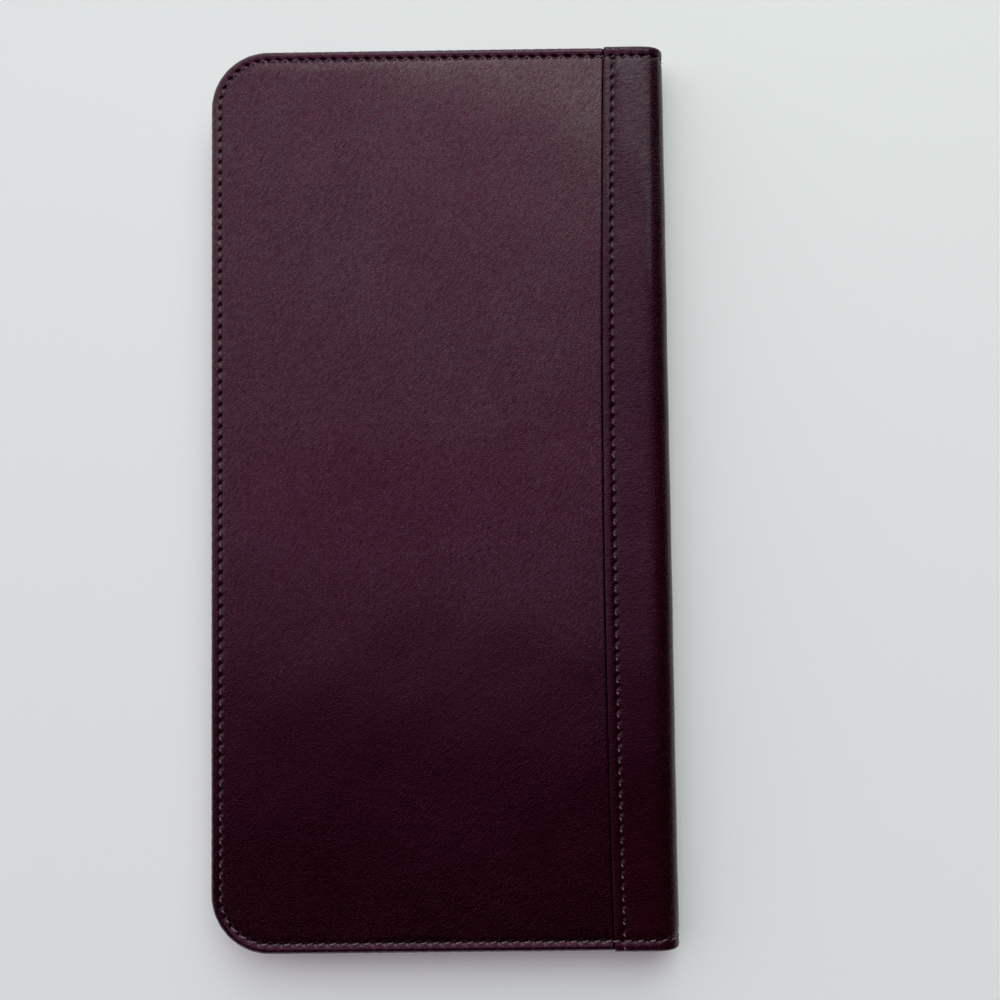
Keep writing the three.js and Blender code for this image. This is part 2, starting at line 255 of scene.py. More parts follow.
# %% The room and the table
world = bpy.data.worlds.new("room")
world.use_nodes = True
world.node_tree.nodes.clear()
direction = Wire(world.node_tree.nodes.new("ShaderNodeTexCoord").outputs["Generated"])
rightwards, headwards, height = (
    direction.node("ShaderNodeSeparateXYZ", {}, {0: direction}, axis) for axis in "XYZ"
)
low_share = height.ramp(*LOW_RANGE)
lit_share = 1 - rightwards.ramp(*DARK_RANGE)
wall_share = headwards.ramp(*WALL_RANGE)
low_light = DIM_LIGHT + lit_share * low_share * LOW_LIGHT
wall_light = lit_share * wall_share * (1 - low_share) * WALL_LIGHT
near_share = (1 - headwards.ramp(*HUE_RANGE)) * rightwards.ramp(*SIDE_RANGE)
wall_colour = near_share.blend(FAR_COLOUR, NEAR_COLOUR)
low_room = direction.node("ShaderNodeBackground", {}, {"Color": LOW_COLOUR, "Strength": low_light})
wall_room = direction.node("ShaderNodeBackground", {}, {"Color": wall_colour, "Strength": wall_light})
room = direction.node("ShaderNodeAddShader", {}, {0: low_room, 1: wall_room})
world_output = world.node_tree.nodes.new("ShaderNodeOutputWorld")
world.node_tree.links.new(room.socket, world_output.inputs["Surface"])
scene.world = world

table_material, table_place = start_material("pale_table")
close_material(
    table_material,
    table_place,
    height=table_place.noise(size=2.0),
    relief=0.004,
    inputs={
        "Base Color": TABLE_COLOUR,
        "Roughness": 0.5 + table_place.noise(size=40.0, detail=3.0) * 0.1,
    },
)
table_mesh = bpy.data.meshes.new("table")
half_table = TABLE_SIDE / 2
table_corners = [(-1, -1), (1, -1), (1, 1), (-1, 1)]
table_points = [(x * half_table, y * half_table, -TABLE_DROP * MM) for x, y in table_corners]
table_mesh.from_pydata(table_points, [], [(0, 1, 2, 3)])
table_mesh.materials.append(table_material)
table = bpy.data.objects.new("table", table_mesh)
scene.collection.objects.link(table)

# %% [markdown]
# ## Leather
#
# Calf is smooth, but close to the eye it breaks into tiny plump cells with creases between them,
# crossed by fine wrinkles where the hide was stretched. Cells come from a Voronoi pattern's distance
# to its edges, bent by a slow noise so that no two are alike. Wrinkles are noise drawn out long.
# Two numbers at the vertices paint light into the colour: one is painted shade, turning the needle
# holes and the gap beside the strip's edge near black; the other makes the rounded edges lighter and
# greyer, partly wear and partly a painted sheen.


# %% Calf for the covers and thinner calf for the pockets
GRAIN_BEND = 0.9  # how far the cell pattern is pushed about, millimetres
WRINKLE_SHAPE = (1.5, 0.5, 1.0)
# near black painted into the needle holes and the gap beside the strip's edge: painted shade
HOLE_SHADE_COLOUR = (0.0015, 0.0008, 0.001, 1.0)


def calf(name, deep, bright, edge_wear_and_sheen, grain, relief, roughness, gloss, wrinkle_turn, constants):
    """Leather from a deep to a bright colour: cells of grain millimetres, wrinkles along a turn."""
    material, place = start_material(name)
    push = place.noise(size=5.0, detail=1.0, output="Color")
    push_inputs = {0: push, "Scale": GRAIN_BEND * MM}
    push = place.node("ShaderNodeVectorMath", {"operation": "SCALE"}, push_inputs)
    bent = place.node("ShaderNodeVectorMath", {"operation": "ADD"}, {0: place, 1: push})
    cell_inputs = {"Vector": bent, "Scale": 1 / (grain * MM)}
    cells = place.node("ShaderNodeTexVoronoi", {"feature": "DISTANCE_TO_EDGE"}, cell_inputs, "Distance")
    plump = cells.ramp(0.0, 0.45)
    wrinkles = bent.stretched(wrinkle_turn, WRINKLE_SHAPE).noise(size=1.0, detail=3.0)
    wrinkled = place.noise(size=26.0).ramp(0.42, 0.68)
    pores = place.noise(size=0.12)
    relief_height = plump * 0.45 + wrinkles * (0.55 + wrinkled * 1.1) + pores * 0.12
    tone = place.noise(size=17.0, detail=4.0) * 0.7 + place.noise(size=1.6) * 0.3
    hole_shade = place.attribute("hole_shade")
    wear_and_sheen = place.attribute("wear_and_sheen") * (0.6 + place.noise(size=3.0, detail=3.0) * 0.8)
    colour = tone.ramp(0.3, 0.7).blend(deep, bright)
    colour = ((1 - plump) * 0.35).blend(colour, deep)
    # rounded edges turn lighter and greyer: partly wear, partly a painted sheen
    colour = wear_and_sheen.ramp(0.2, 1.1).blend(colour, edge_wear_and_sheen)
    # painted shade: the needle holes and the gap beside the strip's edge turn near black
    colour = hole_shade.ramp(0.15, 0.55).blend(colour, HOLE_SHADE_COLOUR)
    rough = roughness + (1 - plump) * 0.12 + tone * 0.08 - wear_and_sheen * 0.06
    grain_shine = plump * 0.7 + wrinkles * 2.0 - 0.36
    hide_shine = 0.6 + place.noise(size=22.0, detail=4.0) * 0.8
    coat = gloss * grain_shine * hide_shine * (1 - wear_and_sheen * 0.55)
    inputs = {"Base Color": colour, "Roughness": rough, "Coat Weight": coat, **constants}
    return close_material(material, place, relief_height, relief, inputs)


cover_look = {
    "deep": (0.0020, 0.0001, 0.0002, 1.0),
    "bright": (0.0046, 0.0003, 0.0006, 1.0),
    # the edge colour, lighter and greyer: wear together with a painted sheen
    "edge_wear_and_sheen": (0.028, 0.015, 0.017, 1.0),
    "grain": 0.65,
    "relief": 0.14,
    "roughness": 0.14,
    "gloss": 0.45,
    "constants": {
        "Specular IOR Level": 0.365,
        "Specular Tint": (1.0, 0.15, 0.43, 1.0),
        "Coat Roughness": 0.17,
    },
}
strip_shine = {"Specular IOR Level": 0.23, "Specular Tint": (0.95, 0.15, 0.54, 1.0)}
# the strip is the same leather as the covers, but its base colours are nearly three times as bright:
# light painted into its colour
strip_leather = {
    "deep": (0.0056, 0.0003, 0.0006, 1.0),
    "bright": (0.0130, 0.0008, 0.0017, 1.0),
    "gloss": 0.33,
}
strip_look = {**cover_look, **strip_leather, "constants": {**cover_look["constants"], **strip_shine}}
cover_calf = calf("cover_calf", wrinkle_turn=58.0, **cover_look)
strip_calf = calf("strip_calf", wrinkle_turn=12.0, **strip_look)
pocket_calf = calf(
    "pocket_calf",
    deep=(0.024, 0.0032, 0.0062, 1.0),
    bright=(0.046, 0.0070, 0.0125, 1.0),
    edge_wear_and_sheen=(0.009, 0.0016, 0.003, 1.0),
    grain=0.55,
    relief=0.05,
    roughness=0.40,
    gloss=0.1,
    wrinkle_turn=80.0,
    constants={"Specular Tint": (1.0, 0.6, 0.75, 1.0), "Coat Roughness": 0.4},
)

# %% [markdown]
# ## Cloth, thread and board
#
# The lining is a satin twill: fine diagonal ribs, which need a coordinate that follows the cloth
# round the fold, so each vertex holds its run from the fore edge. Thread is a waxed twist, a dull
# mauve that differs a little from stitch to stitch. The board is grey pulp with short fibres.

# %% Lining, thread and board materials
RIB = 0.55  # from one rib of the twill to the next, millimetres

lining_cloth, cloth_place = start_material("lining_satin")
cloth_y = cloth_place.node("ShaderNodeSeparateXYZ", {}, {0: cloth_place}, "Y")
cloth_run = cloth_place.attribute("run")
rib_turns = (cloth_run + cloth_y) * (2 * np.pi / (RIB * MM))
ribs = rib_turns.math("SINE", rib_turns) * 0.5 + 0.5
slubs = cloth_place.stretched(0.0, (0.4, 5.0, 1.0)).noise(size=0.8, detail=3.0)
lining_tone = ribs * 0.5 + slubs * 0.5
close_material(
    lining_cloth,
    cloth_place,
    height=ribs * 0.7 + slubs * 0.3,
    relief=0.05,
    inputs={
        "Base Color": lining_tone.blend((0.012, 0.0028, 0.005, 1.0), (0.034, 0.009, 0.014, 1.0)),
        "Roughness": 0.56 - ribs * 0.12,
        "Specular IOR Level": 0.3,
        "Specular Tint": (1.0, 0.4, 0.55, 1.0),
    },
)

waxed_thread, thread_place = start_material("waxed_thread")
fibres = thread_place.noise(size=0.14, detail=3.0)
thread_tone = fibres * 0.5 + thread_place.attribute("tone") * 0.5
close_material(
    waxed_thread,
    thread_place,
    height=fibres,
    relief=0.04,
    inputs={
        "Base Color": thread_tone.blend((0.055, 0.024, 0.037, 1.0), (0.16, 0.096, 0.122, 1.0)),
        "Roughness": 0.62 - fibres * 0.15,
        "Sheen Weight": 0.2,
    },
)

grey_board, board_place = start_material("grey_board")
pulp = board_place.noise(size=0.5, detail=4.0)
flecks = board_place.stretched(35.0, (4.0, 0.4, 1.0)).noise(size=0.9)
board_tone = pulp * 0.6 + flecks * 0.4
close_material(
    grey_board,
    board_place,
    height=pulp,
    relief=0.05,
    inputs={
        "Base Color": board_tone.blend((0.19, 0.17, 0.14, 1.0), (0.36, 0.33, 0.29, 1.0)),
        "Roughness": 0.85 + pulp * 0.1,
    },
)

# %% [markdown]
# ## From arrays to pieces
#
# Every shape below ends as points and blocks of faces. A grid of points makes quads; two grids with
# a wall round them make a slab; a stack of closed rings with a lid at both ends makes a ply. The
# fastest way into a mesh is foreach_set. A mirrored shape comes out inside out, so the sign of its
# volume is worked out first and the faces are turned if it is negative.


# %% Grids, slabs, ring stacks and the mesh they become
def grid_faces(rows, columns, first=0, wrap=False):
    """Quads of a row-by-row grid of points; wrap closes each row on itself."""
    row = np.arange(rows - 1)[:, None]
    column = np.arange(columns if wrap else columns - 1)[None, :]
    following = (column + 1) % columns
    near = first + row * columns + column
    far = first + row * columns + following
    return np.stack([near, far, far + columns, near + columns], -1).reshape(-1, 4)


def slab(top, bottom):
    """A closed slab between two grids of the same size, with a wall round their border."""
    rows, columns = top.shape[:2]
    count = rows * columns
    index = np.arange(count).reshape(rows, columns)
    border = np.concatenate([index[0, :-1], index[:-1, -1], index[-1, :0:-1], index[:0:-1, 0]])
    after = np.roll(border, -1)
    wall = np.stack([after, border, border + count, after + count], -1)
    points = np.concatenate([top.reshape(-1, 3), bottom.reshape(-1, 3)])
    return points, [grid_faces(rows, columns), grid_faces(rows, columns, count)[:, ::-1], wall]


def lidded(rings):
    """A closed body from a stack of closed rings, with a flat lid on the first and the last."""
    count, sides = rings.shape[:2]
    index = np.arange(count * sides).reshape(count, sides)
    faces = [grid_faces(count, sides, wrap=True), index[:1, ::-1], index[-1:]]
    return rings.reshape(-1, 3), faces


def signed_volume(points, faces):
    """Six times the volume: each face is a fan of triangles seen from the origin."""
    total = 0.0
    for block in faces:
        hub = points[block[:, 0]][:, None]
        rim_a = points[block[:, 1:-1]]
        rim_b = points[block[:, 2:]]
        total += np.einsum("fti,fti->", np.broadcast_to(hub, rim_a.shape), np.cross(rim_a, rim_b))
    return total


def new_piece(name, points, faces, material, values=None, sharp=60.0):
    """Makes a mesh object from points in millimetres and blocks of faces, facing outwards."""
    if signed_volume(points, faces) < 0:
        faces = [block[:, ::-1] for block in faces]
    corners = np.concatenate([block.ravel() for block in faces])
    sizes = np.concatenate([np.full(len(block), block.shape[1]) for block in faces])
    mesh = bpy.data.meshes.new(name)
    mesh.vertices.add(len(points))
    mesh.vertices.foreach_set("co", (points * MM).astype(np.float32).ravel())
    mesh.loops.add(len(corners))
    mesh.loops.foreach_set("vertex_index", corners.astype(np.int32))
    mesh.polygons.add(len(sizes))
    mesh.polygons.foreach_set("loop_start", (np.cumsum(sizes) - sizes).astype(np.int32))
    mesh.update(calc_edges=True)
    mesh.shade_smooth()
    mesh.set_sharp_from_angle(angle=np.radians(sharp))
    for key, value in (values or {}).items():
        stored = mesh.attributes.new(key, "FLOAT", "POINT")
        stored.data.foreach_set("value", value.astype(np.float32).ravel())
    mesh.materials.append(material)
    piece = bpy.data.objects.new(name, mesh)
    scene.collection.objects.link(piece)
    print(name, len(points), "points", int((sizes - 2).sum()), "triangles")
    return piece


def on_side(points, side):
    """Points as x, y and depth under the outer face, placed in the front or the back cover."""
    z = points[..., 2] if side == "back" else THICKNESS - points[..., 2]
    return np.stack([points[..., 0], points[..., 1], z], -1)


def at_depth(place, depth):
    """Points x, y joined with their depth, which may be one number for all."""
    return np.concatenate([place, np.broadcast_to(depth, place.shape[:-1])[..., None]], -1)


def unit(vectors):
    """The same directions, each one long."""
    return vectors / np.linalg.norm(vectors, axis=-1, keepdims=True)


def run_along(line):
    """The distance from the first point of a line to each of its points."""
    steps = np.linalg.norm(np.diff(line, axis=0), axis=1)
    return np.concatenate([[0], np.cumsum(steps)])


def smooth(value, low, high):
    """Rises from 0 at low to 1 at high with level ends."""
    t = np.clip((value - low) / (high - low), 0, 1)
    return t * t * (3 - 2 * t)


# %% [markdown]
# ## Where the needle went
#
# A stitched edge is not a line of beads on a flat face. The thread pulls the leather down into a
# trough, and each needle hole is a slanting oval pit. One function gives that dent for any row, from
# two distances: along the row to the nearest hole, and across the row. The covers, the strip and its
# hems all use it, so their rows look sewn by the same hand.


# %% The dent of a stitched row
TROUGH = (0.15, 0.6)  # depth and half width of the thread's trough
HOLLOW = (0.13, 1.7)  # depth and half width of the softer hollow round it
HOLE_DEPTH = 0.4
HOLE_LONG = 0.6
HOLE_WIDE = 0.35
HOLE_LEAN = np.radians(-33)


def stitch_dent(along, across):
    """Depth of the dent and strength of the hole, also its painted shade: two bell curves across, and a
    leaning oval bell.
    """
    trough = TROUGH[0] * np.exp(-((across / TROUGH[1]) ** 2))
    hollow = HOLLOW[0] * np.exp(-((across / HOLLOW[1]) ** 2))
    lengthwise = along * np.cos(HOLE_LEAN) + across * np.sin(HOLE_LEAN)
    sideways = across * np.cos(HOLE_LEAN) - along * np.sin(HOLE_LEAN)
    hole_shade = np.exp(-((lengthwise / HOLE_LONG) ** 2) - (sideways / HOLE_WIDE) ** 2)
    return trough + hollow + HOLE_DEPTH * hole_shade, hole_shade


def to_hole(count):
    """Stitches counted along a row, as the distance to the nearest whole number."""
    return count - np.round(count)


# %% [markdown]
# ## The cover skins
#
# A cover's leather is flat in the middle, dented along the stitching, rounded over the edge and
# turned in on the board. The whole margin is one profile carried along a path that runs up the head,
# round both fore corners and back along the tail, counted in stitches, so that each needle hole
# falls on a whole number. The flat middle doesn't need such fine points. It is a coarse patch with
# one cell to a stitch, and many-sided faces join the fine margin to it.


# %% The path round a cover and the coarse patch inside it
HEAD_STITCHES = 30
CORNER_STITCHES = 7
FORE_STITCHES = 70
ROW_STITCHES = 2 * HEAD_STITCHES + 2 * CORNER_STITCHES + FORE_STITCHES
HEAD_CELLS = HEAD_STITCHES + CORNER_STITCHES // 2
FORE_CELLS = ROW_STITCHES - 2 * HEAD_CELLS
CORNER_X = FORE_X + FORE_CORNER
CORNER_Y = PANEL_HALF - FORE_CORNER
PITCH = (STRIP_X - CORNER_X) / HEAD_STITCHES


def rim_point(count, inset):
    """A point inset from the cover's edge, count stitches from the strip, and its outward normal.

    The normal turns a quarter over each corner. The corner's centre slides along the straight
    sides, and the point lies on the normal, one corner radius less the inset away.
    """
    first_corner = np.clip((count - HEAD_STITCHES) / CORNER_STITCHES, 0, 1)
    second_corner = np.clip((ROW_STITCHES - HEAD_STITCHES - count) / CORNER_STITCHES, 0, 1)
    turn = np.pi / 2 * (2 + first_corner - second_corner)
    normal = np.stack([np.cos(turn), np.sin(turn)], -1)
    tail_count = ROW_STITCHES - count
    from_corner = np.maximum(HEAD_STITCHES - count, 0) + np.maximum(HEAD_STITCHES - tail_count, 0)
    down = np.clip((count - HEAD_STITCHES - CORNER_STITCHES) / FORE_STITCHES, 0, 1)
    centre = np.stack([CORNER_X + PITCH * from_corner, CORNER_Y * (1 - 2 * down)], -1)
    return centre + (FORE_CORNER - inset)[..., None] * normal, normal


def cover_patch(inset, head_counts):
    """A grid that fills a cover inside an inset: four border curves, blended between the sides.

    Rows go from tail to head and columns from the fore edge to the spine side. Each point is the
    sum of the two blends between facing borders less the blend of the four corners.
    """
    across = len(head_counts) - 1
    u = (np.arange(across + 1) / across)[None, :, None]
    v = (np.arange(FORE_CELLS + 1) / FORE_CELLS)[:, None, None]
    head = rim_point(head_counts, np.full(across + 1, inset))[0][None]
    tail = head * np.array([1, -1])
    fore_counts = HEAD_CELLS + FORE_CELLS - np.arange(FORE_CELLS + 1.0)
    fore = rim_point(fore_counts, np.full(FORE_CELLS + 1, inset))[0][:, None]
    spine = tail[:, -1:] * (1 - v) + head[:, -1:] * v
    sides = fore * (1 - u) + spine * u
    ends = tail * (1 - v) + head * v
    corner_blend = (tail[:, :1] * (1 - v) + head[:, :1] * v) * (1 - u) + spine * u
    return sides + ends - corner_blend


print("stitches round a cover:", ROW_STITCHES, "pitch, mm:", round(PITCH, 3))

# %% [markdown]
# ## Leather is never quite flat
#
# The skin is glued to its board but still shows shallow hollows, and it dips where the strip lies
# over it. Both are depths under the flat face, so the wallet never grows past its own size.

# %% Hollows, the dip at the strip, and one cover skin
HOLLOW_WAVES = ((47.0, 20.0, 1.0), (31.0, 75.0, 0.7), (19.0, 130.0, 0.4))  # length, direction, share
HOLLOW_REACH = 0.16
DIP = (0.14, 7.0)  # depth and reach of the slow dip towards the strip
DROP = (0.66, 0.32, 0.25)  # depth of the drop at the strip's edge, and its reach before and after
CREVICE_SHADE = (0.72, 0.5)  # darkness and width of the painted shade in the gap beside that edge
BOW_REACH = 12.0  # how far from the strip's edge the skin is pulled along with it
BOW = (-0.5, 0.49, 1.3)  # the strip's edge was folded by hand and isn't quite straight
UNDER_CELLS = 1  # stitch lengths of skin that lie under the strip
SAMPLES = 10  # points to a stitch
NEAR_STRIP = np.array([1.0, 0.6, 0.4, 0.3, 0.2, 0.1, 0.0, -0.1, -0.3, -1.0])  # closer columns there
MIDDLE_INSET = 7.5
TURN_IN = 7.0
TURN_IN_THICK = 0.4
MARGIN_INSETS = STITCH_INSET + np.array(
    [3.7, 2.8, 2.0, 1.4, 1.0, 0.7, 0.45, 0.26, 0.1, -0.05, -0.2, -0.35, -0.5, -0.66, -0.85, -1.05]
)
NOSE_STEPS = 11
OUTSIDE_SHARE = 0.6  # share of the nose's radius that still counts as the outer face
PUCKER = 0.02  # how far the edge is drawn in at each hole
# Each pair is two insets from the cover's edge, and the form grows from none to full between them.
PUCKER_INSETS = (1.6, 0.2)
DENT_INSETS = (0.7, 1.7)
SLACK_INSETS = (1.2, 6.0)


def hollows(x, y, phase):
    """Depth of the slack: crossing waves, shifted so that none rises above the flat face."""
    total = 0.0
    for length, direction, share in HOLLOW_WAVES:
        angle = np.radians(direction)
        along = x * np.cos(angle) + y * np.sin(angle)
        total = total + share * np.sin(2 * np.pi * along / length + phase)
    reach = sum(share for _, _, share in HOLLOW_WAVES)
    return HOLLOW_REACH * (1 - total / reach) / 2


def strip_bow(y):
    """How far the strip's edge strays from its straight line: a parabola over the height."""
    t = y / STRIP_HALF
    return BOW[0] + BOW[1] * t + BOW[2] * t * t


def bowed(place):
    """Points x, y of a cover, shifted near the strip so that they keep in line with its edge."""
    x, y = place[..., 0], place[..., 1]
    pulled = smooth(x, STRIP_X - BOW_REACH, STRIP_X - BOW_REACH / 3)
    return np.stack([x + strip_bow(y) * pulled, y], -1)


def strip_dip(x, y):
    """Depth of the skin near the strip: a slow dip, then a drop under the strip's edge."""
    across = x - STRIP_X - strip_bow(y)
    return DIP[0] * smooth(across, -DIP[1], 0.0) + DROP[0] * smooth(across, -DROP[1], DROP[2])


def crevice_shade(x, y):
    """Painted shade: darkness of the narrow gap beside the strip's edge."""
    across = x - STRIP_X - strip_bow(y)
    return CREVICE_SHADE[0] * smooth(across, -CREVICE_SHADE[1], 0.0)


def on_ring(counts, inset, depth):
    """One ring of points round the cover at an even inset and depth."""
    return at_depth(bowed(rim_point(counts, np.full(counts.shape, inset))[0]), depth)


def fans(coarse_row, fine_row, sample_at):
    """Many-sided faces between a coarse row and a fine row, grouped by how many sides they have."""
    spans = np.diff(sample_at)
    found = []
    for span in np.unique(spans):
        cell = np.flatnonzero(spans == span)
        samples = sample_at[cell + 1][:, None] - np.arange(span + 1)[None]
        found.append(np.column_stack([coarse_row[cell], coarse_row[cell + 1], fine_row[samples]]))
    return found


def join_skin(parts, cells, hole_shades, wear_and_sheen):
    """Joins patch, margin, turn-in and inner patch into one closed body, with a cap under the strip."""
    top, fine, coarse, under = parts
    rows, columns = top.shape[:2]
    rings, samples = fine.shape[:2]
    turns, stitches = coarse.shape[:2]
    starts = np.cumsum([0, rows * columns, rings * samples, turns * stitches])
    top_index = np.arange(rows * columns).reshape(rows, columns)
    fine_index = starts[1] + np.arange(rings * samples).reshape(rings, samples)
    coarse_index = starts[2] + np.arange(turns * stitches).reshape(turns, stitches)
    under_index = top_index + starts[3]
    border = np.concatenate([top_index[-1, ::-1], top_index[-2::-1, 0], top_index[0, 1:]])
    sample_at = np.round((cells - cells[0]) * SAMPLES).astype(int)
    inner_fans = fans(border, fine_index[0], sample_at)
    outer_fans = [fan[:, ::-1] for fan in fans(coarse_index[0], fine_index[-1], sample_at)]
    under_border = border + starts[3]
    last_ring = coarse_index[-1]
    last = np.stack([last_ring[:-1], last_ring[1:], under_border[1:], under_border[:-1]], -1)
    to_head = [top_index[:, -1], fine_index[:, 0], coarse_index[:, 0]]
    back_to_tail = [under_index[::-1, -1], coarse_index[::-1, -1], fine_index[::-1, -1]]
    cap = np.concatenate(to_head + back_to_tail)[None]
    faces = [
        grid_faces(rows, columns)[:, ::-1],
        *inner_fans,
        grid_faces(rings, samples, starts[1]),
        *outer_fans,
        grid_faces(turns, stitches, starts[2]),
        last,
        grid_faces(rows, columns, starts[3]),
        cap,
    ]
    points = np.concatenate([part.reshape(-1, 3) for part in parts])
    values = {key: np.zeros(len(points)) for key in ("hole_shade", "wear_and_sheen")}
    values["hole_shade"][: starts[2]] = np.concatenate([hole_shade.ravel() for hole_shade in hole_shades])
    values["wear_and_sheen"][starts[1] : starts[2]] = wear_and_sheen.ravel()
    return points, faces, values


def cover_skin(phase):
    """Points, faces and vertex values of one cover's leather, in x, y and depth."""
    counts = np.arange(-UNDER_CELLS * SAMPLES, (ROW_STITCHES + UNDER_CELLS) * SAMPLES + 1) / SAMPLES
    turn = np.linspace(0, np.pi, NOSE_STEPS)
    nose = EDGE / 2
    insets = np.concatenate([MARGIN_INSETS, nose * (1 - np.sin(turn))])[:, None]
    depths = np.concatenate([np.zeros(len(MARGIN_INSETS)), nose * (1 - np.cos(turn))])[:, None]
    along = to_hole(counts)[None] * PITCH
    dent, hole_shade = stitch_dent(along, insets - STITCH_INSET)
    outside = smooth(depths, nose * OUTSIDE_SHARE, 0.0)
    drawn_in = PUCKER * np.cos(2 * np.pi * counts)[None] * smooth(insets, *PUCKER_INSETS)
    margin = bowed(rim_point(np.broadcast_to(counts, dent.shape), insets + drawn_in)[0])
    margin_x, margin_y = margin[..., 0], margin[..., 1]
    dip = strip_dip(margin_x, margin_y) * (1 - depths / EDGE)
    slack = hollows(margin_x, margin_y, phase) * smooth(insets, *SLACK_INSETS) * outside
    depth = depths + dip + slack + dent * outside * smooth(insets, *DENT_INSETS)
    fine = at_depth(margin, depth)
    # painted shade: the needle holes and the gap beside the strip darken the colour
    hole_shade = np.maximum(hole_shade, crevice_shade(margin_x, margin_y)) * outside
    # the nose turns lighter and greyer: wear and a painted sheen
    wear_and_sheen = np.broadcast_to(np.sin(turn)[:, None], (NOSE_STEPS, len(counts)))
    wear_and_sheen = np.concatenate([np.zeros((len(MARGIN_INSETS), len(counts))), wear_and_sheen])

    head_counts = np.concatenate([np.arange(HEAD_CELLS, 1.0, -1.0), NEAR_STRIP])
    fore_counts = np.arange(HEAD_CELLS + 1.0, HEAD_CELLS + FORE_CELLS)
    cells = np.concatenate([head_counts[::-1], fore_counts, ROW_STITCHES - head_counts])
    turned_under = EDGE - TURN_IN_THICK
    turned = [(TURN_IN, EDGE), (TURN_IN, turned_under), (LEATHER, turned_under), (LEATHER, LEATHER)]
    coarse = np.stack([on_ring(cells, inset, level) for inset, level in turned])

    middle = bowed(cover_patch(MIDDLE_INSET, head_counts))
    middle_x, middle_y = middle[..., 0], middle[..., 1]
    middle_depth = hollows(middle_x, middle_y, phase) + strip_dip(middle_x, middle_y)
    parts = (at_depth(middle, middle_depth), fine, coarse, at_depth(middle, LEATHER))
    return join_skin(parts, cells, (crevice_shade(middle_x, middle_y), hole_shade), wear_and_sheen)


# %% Both cover skins
SIDES = {"front": 0.4, "back": 2.3}  # each side's shift of the shallow hollows
for side, phase in SIDES.items():
    skin_points, skin_faces, skin_values = cover_skin(phase)
    skin_points = on_side(skin_points, side)
    skin = new_piece(f"{side}_skin", skin_points, skin_faces, cover_calf, skin_values)
    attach(skin, f"{side}_cover")
    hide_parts(f"{side}_cover_panel")

# %% [markdown]
# ## The spine strip
#
# The strip is one band of leather that starts with a folded edge on the front cover, runs over to
# the spine, bends round it and laps onto the back cover. Each half is a slab: an outer grid and an
# inner grid over the same two parameters, the way round the spine and the way from tail to head. At
# head and tail the two grids swell apart over the board and then close in a round nose. The halves
# meet in the middle of the spine.

# %% The way round the spine
BEAD = (1.0, 0.4)  # how wide and how high the strip's folded edge rounds
BEAD_STEPS = 8
LAP_STEPS = 26
ROUND_STEPS = 30
ROUND_REACH = 7.8  # how far from the spine the leather starts to bend
ROUND_POWER = 2.6  # 2 would be an ellipse, more is squarer
LAP_THICK = 0.7  # the strip where it lies on a cover skin
SKIN_END_X = STRIP_X + PITCH  # where the skin under the strip stops
HEM_STITCHES = 7
END_THICK = (EDGE, 1.7)  # thickness of the strip's ends on the cover and round the spine


def spine_way():
    """Outer points (x, depth), their inward normals, and the distance along from the strip's edge.

    A small oval arc is the folded edge, a line the lap and a quarter of a squared ellipse the round.
    Its half axes take the sine and the cosine of an even turn, to the power of two over its own power.
    """
    edge_turn = np.radians(np.linspace(-60, 90, BEAD_STEPS))[:-1]
    edge_x = STRIP_X + BEAD[0] * (1 - np.cos(edge_turn))
    edge_depth = BEAD[1] * (1 - np.sin(edge_turn))
    edge_normal = unit(np.stack([np.cos(edge_turn) / BEAD[0], np.sin(edge_turn) / BEAD[1]], -1))
    round_x = SPINE_X - ROUND_REACH
    lap_x = np.linspace(STRIP_X + BEAD[0], round_x, LAP_STEPS)[:-1]
    lap_normal = np.tile([0.0, 1.0], (len(lap_x), 1))
    turn = np.linspace(0, np.pi / 2, ROUND_STEPS)
    across = np.sin(turn) ** (2 / ROUND_POWER)
    down = np.abs(np.cos(turn)) ** (2 / ROUND_POWER)
    middle = THICKNESS / 2
    x = np.concatenate([edge_x, lap_x, round_x + ROUND_REACH * across])
    depth = np.concatenate([edge_depth, np.zeros(len(lap_x)), middle * (1 - down)])
    steep = across ** (ROUND_POWER - 1) / ROUND_REACH
    level = down ** (ROUND_POWER - 1) / middle
    round_normal = unit(np.stack([-steep, level], -1))
    points = np.stack([x, depth], -1)
    return points, np.concatenate([edge_normal, lap_normal, round_normal]), run_along(points)


way, way_normal, way_run = spine_way()
HEM_PITCH = way_run[-1] / HEM_STITCHES
print("half the way round the spine, mm:", round(way_run[-1], 2), "in", len(way), "points")

# %% [markdown]
# The strip's seam runs from tail to head 2.5 mm inside its folded edge, and each end has a hem whose
# stitches go right round the spine. Rows of points lie close together where a row is sewn.

# %% The way from tail to head, and one half of the strip
SEAM_STITCHES = 79
SEAM_PITCH = 2 * STITCH_Y / SEAM_STITCHES
SEAM_SAMPLES = 7
HEM_GAPS = np.array([2.1, 1.5, 1.05, 0.75, 0.5, 0.32, 0.16, 0.0, -0.16, -0.32, -0.5, -0.72])
END_STEPS = 7
END_TURN = np.radians(83)  # the nose stops just short of closing
END_THIN_X = HINGE_X - 3  # from here to the spine the ends get thinner
STRIP_SLACK = 0.12
STRIP_WAVES = (11.0, 5.0, 6.3)  # lengths over which the slack's two crossing waves turn by a radian
INNER_START = (0.6, 2.0)  # where the inner face begins, in beads, and how far it trails the outer one
